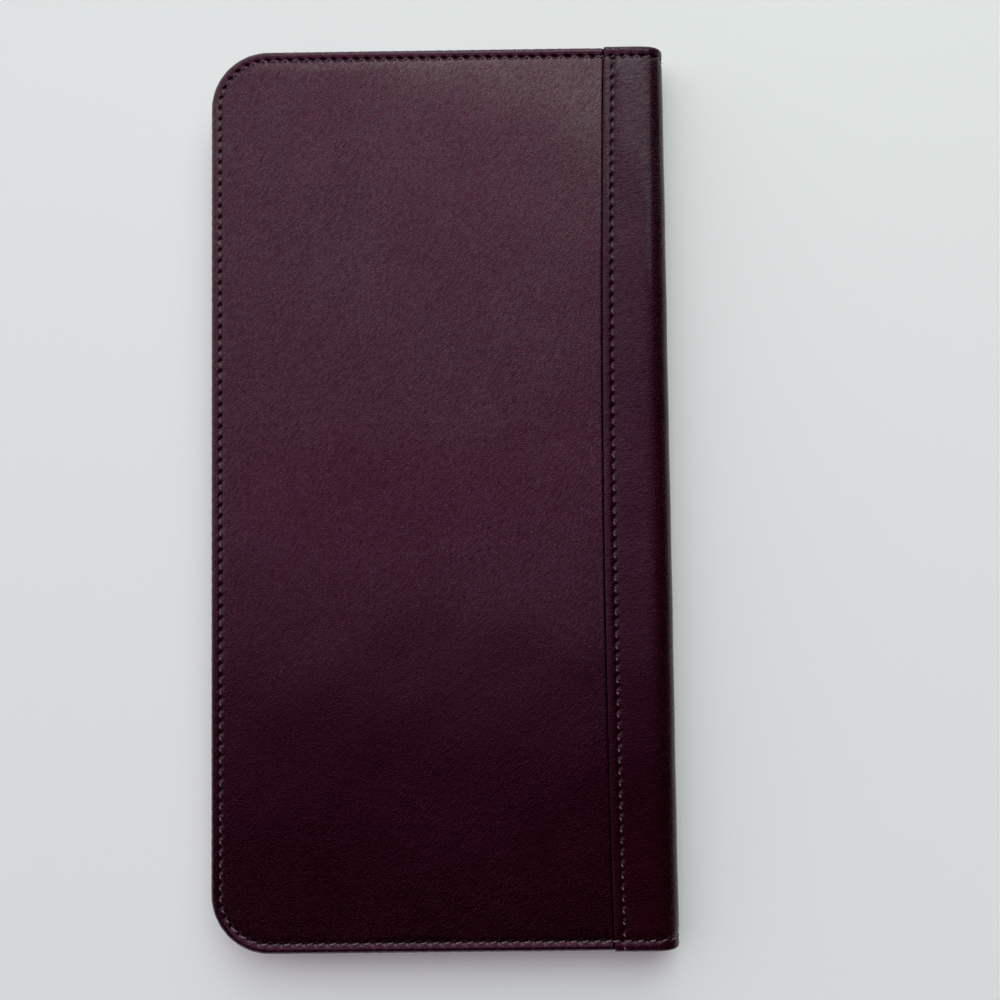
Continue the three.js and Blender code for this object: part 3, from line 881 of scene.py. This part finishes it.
# Each pair is two distances, and the form named grows from none to full between them.
SEAM_BEGINS = (0.9, 1.6)  # along the strip's way: dents of the seam
SEAM_ENDS = (8.0, 6.0)
HEM_BEGINS = (0.0, 0.5)  # along the way: dents of the hem
EDGE_WEAR_AND_SHEEN = (0.9, 0.4)  # along the way: wear and painted sheen on the folded edge
SLACK_BEGINS = (1.0, 5.0)  # along the way: slack
SLACK_OFF_END = (1.5, 8.0)  # from the strip's end: slack
SLACK_OFF_MIDDLE = (0.2, 1.5)  # from the middle of the spine: slack
LAP_THICKENS = (0.0, 0.6)  # past the end of the skin: full thickness of the strip
SEAM_OFF_HEM = (-0.4, 0.6)  # inside the hem: dents of the seam
END_SWELL = (0.4, 1.0)  # outside the hem: swelling of the ends


def strip_half(phase):
    """Outer and inner grids of half the strip, in x, y and depth, with painted shade at its holes, and
    its wear and painted sheen.
    """
    seam_rows = SEAM_STITCHES - 2
    middle = np.linspace(-0.5, 0.5, seam_rows * SEAM_SAMPLES + 1) * seam_rows * SEAM_PITCH
    middle_y = np.broadcast_to(middle[:, None], (len(middle), len(way)))
    thinner = smooth(way[:, 0], END_THIN_X, SPINE_X)
    end_round = END_THICK[0] / 2 + (END_THICK[1] - END_THICK[0]) / 2 * thinner
    nose_turn = np.linspace(0, END_TURN, END_STEPS)
    nose_y = STRIP_HALF - end_round * (1 - np.sin(nose_turn))[:, None]
    hem_y = np.broadcast_to((STITCH_Y - HEM_GAPS)[:, None], (len(HEM_GAPS), len(way)))
    end_y = np.concatenate([hem_y, nose_y])
    end_turn = np.concatenate([np.zeros(len(HEM_GAPS)), nose_turn])
    y = np.concatenate([-end_y[::-1], middle_y, end_y])
    turn = np.concatenate([end_turn[::-1], np.zeros(len(middle)), end_turn])[:, None]

    in_hem = STITCH_Y - np.abs(y)
    seam_dent, seam_hole_shade = stitch_dent(-to_hole(y / SEAM_PITCH + 0.5) * SEAM_PITCH, way[:, 0] - SEAM_X)
    on_lap = smooth(way_run, *SEAM_BEGINS) * smooth(way_run, *SEAM_ENDS)
    off_hem = smooth(in_hem, *SEAM_OFF_HEM)
    hem_along = -np.sign(y) * to_hole(way_run / HEM_PITCH) * HEM_PITCH
    hem_dent, hem_hole_shade = stitch_dent(hem_along, in_hem)
    flat = np.cos(turn)
    wave = np.sin(y / STRIP_WAVES[0] + way_run / STRIP_WAVES[1] + phase)
    slack = STRIP_SLACK * (1 - wave * np.sin(y / STRIP_WAVES[2] - phase)) / 2
    slack = slack * smooth(way_run, *SLACK_BEGINS) * smooth(STRIP_HALF - np.abs(y), *SLACK_OFF_END)
    slack = slack * smooth(THICKNESS / 2 - way[:, 1], *SLACK_OFF_MIDDLE)
    press = (seam_dent * on_lap * off_hem + hem_dent * smooth(way_run, *HEM_BEGINS)) * flat + slack

    swell = smooth(-in_hem, *END_SWELL)
    under_lap = LAP_THICK + (LEATHER - LAP_THICK) * smooth(way[:, 0] - SKIN_END_X, *LAP_THICKENS)
    thick = under_lap + (2 * end_round - under_lap) * swell
    trailing = np.linspace(0, 1, len(way)) * INNER_START[1] + STRIP_X + BEAD[0] * INNER_START[0]
    inner_x = np.maximum(way[:, 0], trailing)
    on_cover = way[:, 0] < SPINE_X - ROUND_REACH
    start_x = np.where(on_cover, inner_x, way[:, 0])
    start_depth = np.where(on_cover, 0.0, way[:, 1])
    inward = np.where(on_cover[:, None], np.array([0.0, 1.0]), way_normal)
    inner = np.stack([start_x + inward[:, 0] * thick, start_depth + inward[:, 1] * thick], -1)
    outer = way + way_normal * press[..., None]
    closing = (1 - flat)[..., None] / 2
    outer, inner = outer + (inner - outer) * closing, inner + (outer - inner) * closing
    bow = strip_bow(y) * smooth(way[:, 0], SPINE_X - ROUND_REACH + 1, SEAM_X)
    top = np.stack([outer[..., 0] + bow, y, outer[..., 1]], -1)
    bottom = np.stack([inner[..., 0] + bow, y, inner[..., 1]], -1)
    # painted shade in the needle holes of the seam and the hems
    hole_shade = np.maximum(seam_hole_shade * on_lap * off_hem, hem_hole_shade) * flat
    # the folded edge and the round ends turn lighter and greyer: wear and a painted sheen
    wear_and_sheen = np.maximum(1 - flat, np.broadcast_to(smooth(way_run, *EDGE_WEAR_AND_SHEEN), y.shape))
    return top, bottom, hole_shade, wear_and_sheen


# %% Both halves of the strip
def bend_with_fold(piece, side):
    """Bakes a piece's placement into its mesh; the two ends of the fold are worked out, but nothing
    uses them.
    """
    face = THICKNESS if side == "front" else 0.0
    inwards = -1 if side == "front" else 1
    start = (HINGE_X * MM, 0.0, (face + inwards * LEATHER / 2) * MM)
    end = ((SPINE_X - LEATHER / 2) * MM, 0.0, (face + inwards * FOLD_RADIUS) * MM)
    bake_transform(piece)


for side, phase in SIDES.items():
    strip_top, strip_bottom, strip_hole_shade, strip_wear_and_sheen = strip_half(phase)
    strip_points, strip_faces = slab(strip_top, strip_bottom)
    strip_points = on_side(strip_points, side)
    unmarked = np.zeros(strip_hole_shade.size)  # the inner face has no painted shade at its holes, and no wear and painted sheen
    strip_values = {
        "hole_shade": np.concatenate([strip_hole_shade.ravel(), unmarked]),
        "wear_and_sheen": np.concatenate([strip_wear_and_sheen.ravel(), unmarked]),
    }
    strip = new_piece(
        f"{side}_strip", strip_points, strip_faces, strip_calf, strip_values
    )
    bend_with_fold(strip, side)
    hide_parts(f"spine_strip_{side}", f"spine_fold_{side}", "spine_wall")

# %% [markdown]
# ## The lining
#
# A cloth lining covers the turned-in edges of both covers and runs on over the fold and up the
# inside of the spine, one piece on the real wallet. It is glued down, so no simulation is needed: the
# cover part is a flat patch, and past the board the cloth drops onto the strip and follows its bend.
# The cloth is split in the middle of the spine like the strip.

# %% Both halves of the lining
LINING_THICK = 0.4
LINING_OFF_LEATHER = 1.8  # from the strip's outer face to the cloth, clear of the turned ends
DROP_LENGTH = 3.6
LAP_COLUMNS = 4  # columns of cloth besides one to a stitch, because it runs on past the strip's edge
FOLD_CLEAR = 0.2  # from the end of the flat cloth to the first column round the fold
lining_low, lining_high = node_box("front_lining")
PLY_INSET = lining_low[0] - FORE_X
LINING_X = lining_high[0]
LINING_DEPTH = THICKNESS - lining_high[2]
LINING_TOP = THICKNESS - lining_low[2]


def lining_half(offset, cover_depth):
    """A grid of the cloth's outer or inner face: the cover patch, then the columns round the fold."""
    last_count = -(LINING_X - STRIP_X) / PITCH
    columns = np.linspace(HEAD_CELLS, last_count, HEAD_CELLS + LAP_COLUMNS)
    cover = at_depth(cover_patch(PLY_INSET, columns), cover_depth)
    beyond = way[:, 0] > LINING_X + FOLD_CLEAR
    settled = smooth(way[beyond, 0], LINING_X, LINING_X + DROP_LENGTH)
    under = cover_depth + (offset - cover_depth) * settled
    x, depth = (way[beyond] + way_normal[beyond] * under[:, None]).T
    y = np.broadcast_to(cover[:, -1:, 1], (len(cover), len(x)))
    fold = np.stack([np.broadcast_to(x, y.shape), y, np.broadcast_to(depth, y.shape)], -1)
    return np.concatenate([cover, fold], 1)


cloth_outer = lining_half(LINING_OFF_LEATHER, LINING_DEPTH)
cloth_inner = lining_half(LINING_OFF_LEATHER + LINING_THICK, LINING_TOP)
cloth_steps = np.linalg.norm(np.diff(cloth_inner[:, :, [0, 2]], axis=1), axis=-1)
cloth_along = np.concatenate([np.zeros((len(cloth_inner), 1)), np.cumsum(cloth_steps, 1)], 1)

for side in SIDES:
    cloth_points, cloth_faces = slab(cloth_inner, cloth_outer)
    cloth_points = on_side(cloth_points, side)
    cloth_values = {"run": np.tile(cloth_along.ravel() * MM, 2)}
    cloth = new_piece(f"{side}_cloth", cloth_points, cloth_faces, lining_cloth, cloth_values)
    bend_with_fold(cloth, side)
    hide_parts(f"{side}_lining", "spine_lining")

# %% [markdown]
# ## Pockets and card slots
#
# Each pocket is a ply of thin calf with a rounded edge and a creased line just inside it, as an
# edging iron leaves. That is one small profile carried round the ply's outline. An outline is a
# polygon with a radius at each corner, walked at an even step, so the thumb notch is only four more
# corners. Places and thicknesses come from the solids that the plies stand for.

# %% Outlines with round corners, and one ply
OUTLINE_STEP = 0.6
ARC_STEPS = 24
MOUTH_CORNER = 2.0
NOTCH_WIDTH = 18.0
NOTCH_DEPTH = 9.0
CREASE_DEPTH = 0.09
# Inset and height as a share of the ply's thickness, from the underside over the edge to the top.
PLY_PROFILE = np.array(
    [(1.7, 0.0), (0.16, 0.0), (0.03, 0.16), (0.0, 0.5), (0.03, 0.84), (0.16, 1.0)]
    + [(inset, 1.0) for inset in (0.55, 0.82, 1.0, 1.18, 1.45, 1.7)]
)
CREASE_RING = 8
WORN_INSET = 0.2  # rings this close to the edge are rubbed
bodies = frame["record"]["behaviour"]["bodies"]
BODY_OF = {node: body for body, nodes in bodies.items() for node in nodes}


def round_outline(corners):
    """Points and outward normals round corners given as x, y and radius, counterclockwise."""
    corners = np.array(corners, float)
    place = corners[:, :2]
    back = unit(np.roll(place, 1, 0) - place)
    ahead = unit(np.roll(place, -1, 0) - place)
    half = np.arccos(np.clip((back * ahead).sum(1), -1, 1)) / 2
    reach = (corners[:, 2] / np.tan(half))[:, None]
    middle = place + unit(back + ahead) * (corners[:, 2] / np.sin(half))[:, None]
    begin = place + back * reach - middle
    finish = place + ahead * reach - middle
    share = np.linspace(0, 1, ARC_STEPS)[None, :, None]
    sweep = (np.pi - 2 * half)[:, None, None]
    begin_share = np.sin((1 - share) * sweep) / np.sin(sweep)
    finish_share = np.sin(share * sweep) / np.sin(sweep)
    arcs = begin[:, None] * begin_share + finish[:, None] * finish_share
    line = (middle[:, None] + arcs).reshape(-1, 2)
    line = np.concatenate([line, line[:1]])
    run = run_along(line)
    even = np.arange(0, run[-1], run[-1] / round(run[-1] / OUTLINE_STEP))
    points = np.stack([np.interp(even, run, line[:, axis]) for axis in (0, 1)], -1)
    tangent = unit(np.roll(points, -1, 0) - np.roll(points, 1, 0))
    return points, np.stack([tangent[:, 1], -tangent[:, 0]], -1)


def ply(node, notch=False, fore_corners=(True, True)):
    """A pocket ply on the box of its solid: tail and head fore corners round where the cover is."""
    low, high = node_box(node)
    tail_radius = FORE_CORNER - PLY_INSET if fore_corners[0] else MOUTH_CORNER
    head_radius = FORE_CORNER - PLY_INSET if fore_corners[1] else MOUTH_CORNER
    corners = [(low[0], low[1], tail_radius)]
    corners += [(high[0], y, MOUTH_CORNER) for y in (low[1], high[1])]
    if notch:
        middle = (low[0] + high[0]) / 2
        floor = high[1] - NOTCH_DEPTH
        floor_radius = NOTCH_DEPTH - MOUTH_CORNER
        right, left = middle + NOTCH_WIDTH / 2, middle - NOTCH_WIDTH / 2
        corners += [(right, high[1], MOUTH_CORNER), (right, floor, floor_radius)]
        corners += [(left, floor, floor_radius), (left, high[1], MOUTH_CORNER)]
    corners.append((low[0], high[1], head_radius))
    outline, normal = round_outline(corners)
    rings = outline[None] - PLY_PROFILE[:, :1, None] * normal[None]
    level = np.repeat(PLY_PROFILE[:, 1:] * (high[2] - low[2]), len(outline), 1)
    level[CREASE_RING] -= CREASE_DEPTH
    z = low[2] + level if BODY_OF[node] == "back_cover" else high[2] - level
    wear_and_sheen = np.repeat((PLY_PROFILE[:, 0] < WORN_INSET)[:, None].astype(float), len(outline), 1)
    return at_depth(rings, z), wear_and_sheen


# %% All the plies
PLIES = {
    "ticket_pocket": {},
    "document_pocket": {"fore_corners": (True, False)},
    "passport_pocket": {"fore_corners": (True, False), "notch": True},
    "currency_pocket": {},
    "card_slot_1": {"fore_corners": (False, False)},
    "card_slot_2": {"fore_corners": (False, False)},
    "card_slot_3": {"fore_corners": (False, False)},
    "card_slot_4": {"fore_corners": (True, False)},
}
for node, form in PLIES.items():
    ply_rings, ply_wear = ply(node, **form)
    ply_points, ply_faces = lidded(ply_rings)
    ply_values = {"wear_and_sheen": ply_wear}
    leaf = new_piece(f"{node}_leaf", ply_points, ply_faces, pocket_calf, ply_values)
    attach(leaf, BODY_OF[node])
    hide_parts(node)

# %% [markdown]
# ## Stitches
#
# A stitch is a short round thread that comes up through one hole, lies in its trough and goes down
# the next, leaning a little. Hundreds of them share one small shape of a few dozen faces, copied to
# every place at once by multiplying it with three direction vectors per stitch. The rows follow the
# same counts as the needle holes. A stitch through the edge shows again inside, on the top ply.

# %% One stitch and how a row is sewn
STITCH_RINGS = 6
STITCH_SIDES = 6
STITCH_LONG = 0.95
STITCH_LEAN = 0.17
STITCH_PLUNGE = 0.5  # how far its ends dive into their holes
THREAD_RADIUS = 0.19
SEAM_SHARE = 0.8  # length of the seam's stitches against the others
TAIL_SHARE = 1.75  # the same for those along the tail
TAIL_TURN = 0.7  # how far a stitch's normal must point to the tail to be one of them
OUTSIDE_LIFT = -0.13  # the middle of the thread under the flat face, in its trough
HEM_LIFT = -0.22  # the hem is pulled tighter
INSIDE_LIFT = 0.02
WRAP_BACK = 1.0  # from the strip's end to the middle of the stitch that goes over it
WRAP_DEPTH = 0.12
WRAP_LEAN = 0.12
WRAP_DROP = 0.42  # its slope, over the round end

tone_draw = np.random.default_rng(7)


def stitch_shape():
    """Points of one stitch as along, across and up, and its faces."""
    reach = np.linspace(-1, 1, STITCH_RINGS)[:, None]
    turn = np.linspace(0, 2 * np.pi, STITCH_SIDES, endpoint=False)[None]
    across = reach * STITCH_LEAN + THREAD_RADIUS * np.cos(turn)
    along = np.broadcast_to(reach * STITCH_LONG / 2, across.shape)
    up = -STITCH_PLUNGE * reach**4 + THREAD_RADIUS * np.sin(turn)
    return lidded(np.stack([along, across, up], -1))


def sew(origins, along, across, up):
    """Copies the stitch to every origin, along three vectors each, and gives each a tone."""
    shape, faces = stitch_shape()
    axes = np.stack([along, across, up], 1)
    points = origins[:, None] + np.einsum("pk,nkd->npd", shape, axes)
    shift = (np.arange(len(origins)) * len(shape))[:, None, None]
    faces = [(block[None] + shift).reshape(-1, block.shape[1]) for block in faces]
    tone = np.repeat(tone_draw.random(len(origins)), len(shape))
    return points.reshape(-1, 3), faces, tone


def thread_piece(name, side, *rows):
    """Makes one piece of thread from rows sewn in x, y and depth on the front or the back."""
    starts = np.cumsum([0] + [len(points) for points, _, _ in rows])
    points = np.concatenate([row[0] for row in rows])
    faces = [block + start for row, start in zip(rows, starts) for block in row[1]]
    values = {"tone": np.concatenate([row[2] for row in rows])}
    return new_piece(name, on_side(points, side), faces, waxed_thread, values)


# %% [markdown]
# The edge row is sewn through skin, board, lining and pockets, so its inside stitches lie on whichever
# ply is on top there. Mouths step down the cover, so the top ply follows from how many mouths lie
# above a stitch.

# %% Edge rows, outside and inside
TOP_PLIES = {
    "front": ["currency_pocket", "card_slot_1", "card_slot_2", "card_slot_3", "card_slot_4"],
    "back": ["ticket_pocket", "document_pocket", "passport_pocket"],
}


def top_depth(side, y):
    """Depth of the uppermost ply at a height y near the fore edge or the tail."""
    boxes = [node_box(node) for node in TOP_PLIES[side]]
    mouths = np.array([high[1] for _, high in boxes])
    inner = np.array([THICKNESS - low[2] if side == "front" else high[2] for low, high in boxes])
    covered = (y[:, None] < mouths[None]).sum(1)
    return inner[np.clip(covered - 1, 0, len(inner) - 1)]


def edge_row(side, counts, inside):
    """Sews the edge row at the given counts, on the outer face or on the plies inside."""
    place, normal = rim_point(counts, np.full(counts.shape, STITCH_INSET))
    flat = np.zeros((len(counts), 1))
    across = np.concatenate([normal if inside else -normal, flat], 1)
    along = np.concatenate([np.stack([-normal[:, 1], normal[:, 0]], -1), flat], 1)
    if inside:
        depth = top_depth(side, place[:, 1]) - INSIDE_LIFT
    else:
        along = along * np.where(-normal[:, 1:] > TAIL_TURN, TAIL_SHARE, 1.0)
        place = bowed(place)
        depth = strip_dip(place[:, 0], place[:, 1]) - OUTSIDE_LIFT
    up = np.zeros((len(counts), 3))
    up[:, 2] = 1 if inside else -1
    return sew(np.column_stack([place, depth]), along, across, up)


for side in SIDES:
    whole = np.arange(ROW_STITCHES) + 0.5
    sewn = [edge_row(side, whole, inside) for inside in (False, True)]
    row = thread_piece(f"{side}_edge_stitches", side, *sewn)
    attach(row, f"{side}_cover")
    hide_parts(f"{side}_edge_thread")

# %% [markdown]
# The strip has its own seam along the lap and a hem at each end. The seam's last stitches are pulled
# over the strip's ends. The hem goes round the fold.


# %% Seam and hem rows of the strip
def seam_row():
    """Sews the seam beside the strip's edge, from end to end."""
    y = (np.arange(SEAM_STITCHES) + 0.5) * SEAM_PITCH - STITCH_Y
    depth = np.full(len(y), -OUTSIDE_LIFT)
    origins = np.column_stack([SEAM_X + strip_bow(y), y, depth])
    directions = ([0.0, -SEAM_SHARE, 0.0], [1.0, 0.0, 0.0], [0.0, 0.0, -1.0])
    return sew(origins, *(np.tile(direction, (len(y), 1)) for direction in directions))


def end_wraps():
    """Sews the two stitches that go from the seam over the strip's ends."""
    sign = np.array([1.0, -1.0])
    zeros = np.zeros(2)
    y = sign * (STRIP_HALF - WRAP_BACK)
    origins = np.column_stack([SEAM_X + strip_bow(y), y, zeros + WRAP_DEPTH])
    along = np.column_stack([zeros + WRAP_LEAN, sign, zeros + WRAP_DROP])
    across = np.column_stack([-sign, zeros, zeros])
    up = np.column_stack([zeros, sign * WRAP_DROP, zeros - 1.0])
    return sew(origins, along, across, up)


def hem_row(sign):
    """Sews one hem from the strip's edge round the fold to the middle of the spine."""
    run = (np.arange(HEM_STITCHES) + 0.5) * HEM_PITCH
    columns = np.column_stack([way, way_normal]).T
    x, depth, normal_x, normal_depth = (np.interp(run, way_run, column) for column in columns)
    flat = np.zeros(len(run))
    up = -np.column_stack([normal_x, flat, normal_depth])
    share = TAIL_SHARE if sign < 0 else 1.0
    along = sign * share * np.column_stack([-normal_depth, flat, normal_x])
    across = np.column_stack([flat, flat - sign, flat])
    origins = np.column_stack([x, flat + sign * STITCH_Y, depth]) + up * HEM_LIFT
    return sew(origins, along, across, up)


for side in SIDES:
    seam = thread_piece(f"{side}_seam_stitches", side, seam_row(), end_wraps())
    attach(seam, f"{side}_cover")
    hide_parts(f"{side}_seam_thread")
    hem = thread_piece(f"{side}_hem_stitches", side, hem_row(1.0), hem_row(-1.0))
    bend_with_fold(hem, side)

# %% [markdown]
# Inside, one row closes the document and passport pockets at the spine side, and one runs down the
# card slots and along their floor. Each row's places come from the box of the thread it stands for.


# %% Pocket and card slot rows
def straight_row(side, start, finish):
    """Sews a straight row on the top ply between two points x, y."""
    start, finish = np.array(start, float), np.array(finish, float)
    length = np.linalg.norm(finish - start)
    count = int(round(length / PITCH))
    share = ((np.arange(count) + 0.5) / count)[:, None]
    place = start + (finish - start) * share
    along = np.append((finish - start) / length, 0.0) * np.ones((count, 1))
    across = np.column_stack([along[:, 1], -along[:, 0], np.zeros(count)])
    up = np.ones((count, 1)) * [0.0, 0.0, 1.0]
    origins = np.column_stack([place, top_depth(side, place[:, 1]) - INSIDE_LIFT])
    return sew(origins, along, across, up)


pocket_low, pocket_high = node_box("pocket_thread")
pocket_x = (pocket_low[0] + pocket_high[0]) / 2
slot_low, slot_high = node_box("card_slot_thread")
slot_x = slot_high[0] - THREAD / 2
slot_floor = slot_low[1] + THREAD / 2
slot_fore = slot_low[0] + THREAD / 2
slot_corner = (slot_x, slot_floor)
slot_lines = [((slot_x, slot_high[1]), slot_corner), (slot_corner, (slot_fore, slot_floor))]
INSIDE_ROWS = {
    "pocket_thread": ("back", [((pocket_x, pocket_high[1]), (pocket_x, pocket_low[1]))]),
    "card_slot_thread": ("front", slot_lines),
}
for node, (side, lines) in INSIDE_ROWS.items():
    row = thread_piece(f"{node}_stitches", side, *[straight_row(side, *line) for line in lines])
    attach(row, f"{side}_cover")
    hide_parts(node)

# %% [markdown]
# ## The boards
#
# The boards keep their solids, which have the right shape already, and only take the pulp finish.

# %% Boards
for side in SIDES:
    board = frame["nodes"][f"{side}_stiffener"]
    board.data.materials.clear()
    board.data.materials.append(grey_board)
